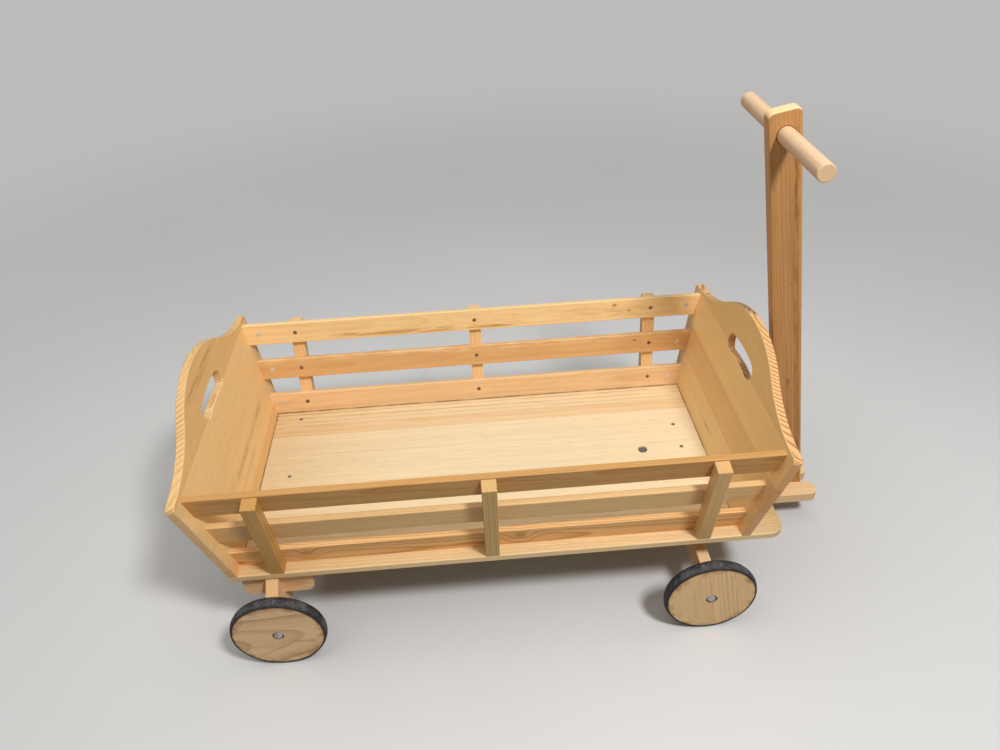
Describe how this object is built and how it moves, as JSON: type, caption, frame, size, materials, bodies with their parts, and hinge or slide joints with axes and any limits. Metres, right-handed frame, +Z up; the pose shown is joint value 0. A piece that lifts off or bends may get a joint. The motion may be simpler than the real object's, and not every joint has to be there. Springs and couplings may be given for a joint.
{
  "type": "pull wagon",
  "caption": "Child's wooden pull wagon with leaning ladder sides, scalloped end boards with hand holes, a steered front axle and a tilting pull handle.",
  "frame": {"origin": "on the ground, under the middle of the wagon's length and width", "axes": "+X forward, from the rear end board to the pull handle; +Y to the wagon's left; +Z up"},
  "size_m": [1.2045, 0.5846, 0.8745],
  "materials": {
    "floor_pine": "oiled, satin",
    "end_board_pine": "oiled, satin",
    "slat_pine": "oiled, satin",
    "stake_pine": "oiled, satin",
    "gear_pine": "oiled, satin",
    "pole_pine": "oiled, satin",
    "dowel_beech": "oiled, satin",
    "wheel_pine": "oiled, scuffed",
    "tyre_rubber": "dusty matt",
    "screw_steel": "dulled",
    "zinc_steel": "zinc plated"
  },
  "bodies": {
    "bed": {"floor_board": "floor_pine", "front_end_board": "end_board_pine", "rear_end_board": "end_board_pine", "left_bottom_slat": "slat_pine", "left_middle_slat": "slat_pine", "left_top_slat": "slat_pine", "right_bottom_slat": "slat_pine", "right_middle_slat": "slat_pine", "right_top_slat": "slat_pine", "left_front_stake": "stake_pine", "left_middle_stake": "stake_pine", "left_rear_stake": "stake_pine", "right_front_stake": "stake_pine", "right_middle_stake": "stake_pine", "right_rear_stake": "stake_pine", "slat_screws": "screw_steel", "stake_foot_screws": "screw_steel", "end_board_screws": "screw_steel", "barrel_nuts": "zinc_steel", "connector_bolts": "zinc_steel", "rear_axle_board": "gear_pine", "left_front_gusset": "gear_pine", "left_rear_gusset": "gear_pine", "right_front_gusset": "gear_pine", "right_rear_gusset": "gear_pine", "rear_floor_screws": "screw_steel", "rear_axle": "zinc_steel", "rear_axle_washers": "zinc_steel", "rear_axle_caps": "zinc_steel", "front_bolster": "gear_pine", "bolster_screws": "screw_steel", "kingpin_bolt": "zinc_steel", "pivot_washer": "zinc_steel", "lock_washer": "zinc_steel", "lock_nut": "zinc_steel"},
    "front_bogie": {"turntable_board": "gear_pine", "front_axle_beam": "gear_pine", "bogie_block": "gear_pine", "left_drawbar_arm": "gear_pine", "right_drawbar_arm": "gear_pine", "arm_spacer": "gear_pine", "turntable_screws": "screw_steel", "arm_screws": "screw_steel", "front_axle": "zinc_steel", "front_axle_washers": "zinc_steel", "front_axle_caps": "zinc_steel", "pole_pivot_bolt": "zinc_steel", "pole_pivot_washer": "zinc_steel", "pole_pivot_insert": "zinc_steel"},
    "handle": {"handle_pole": "pole_pine", "handle_dowel": "dowel_beech"},
    "front_left_wheel": {"front_left_wheel": "wheel_pine", "front_left_tyre": "tyre_rubber"},
    "front_right_wheel": {"front_right_wheel": "wheel_pine", "front_right_tyre": "tyre_rubber"},
    "rear_left_wheel": {"rear_left_wheel": "wheel_pine", "rear_left_tyre": "tyre_rubber"},
    "rear_right_wheel": {"rear_right_wheel": "wheel_pine", "rear_right_tyre": "tyre_rubber"}
  },
  "joints": [
    {"name": "front_steer", "type": "hinge", "parent": "bed", "child": "front_bogie", "pos_m": [0.23226, 0, 0.1515], "axis": [0, 0, 1], "range_deg": [-20, 20]},
    {"name": "handle_tilt", "type": "hinge", "parent": "front_bogie", "child": "handle", "pos_m": [0.55426, 0, 0.0645], "axis": [0, 1, 0], "range_deg": [0, 103]},
    {"name": "front_left_wheel_spin", "type": "hinge", "parent": "front_bogie", "child": "front_left_wheel", "pos_m": [0.30226, 0.279, 0.085], "axis": [0, 1, 0], "continuous": true},
    {"name": "front_right_wheel_spin", "type": "hinge", "parent": "front_bogie", "child": "front_right_wheel", "pos_m": [0.30226, -0.279, 0.085], "axis": [0, 1, 0], "continuous": true},
    {"name": "rear_left_wheel_spin", "type": "hinge", "parent": "bed", "child": "rear_left_wheel", "pos_m": [-0.47774, 0.279, 0.085], "axis": [0, 1, 0], "continuous": true},
    {"name": "rear_right_wheel_spin", "type": "hinge", "parent": "bed", "child": "rear_right_wheel", "pos_m": [-0.47774, -0.279, 0.085], "axis": [0, 1, 0], "continuous": true}
  ]
}
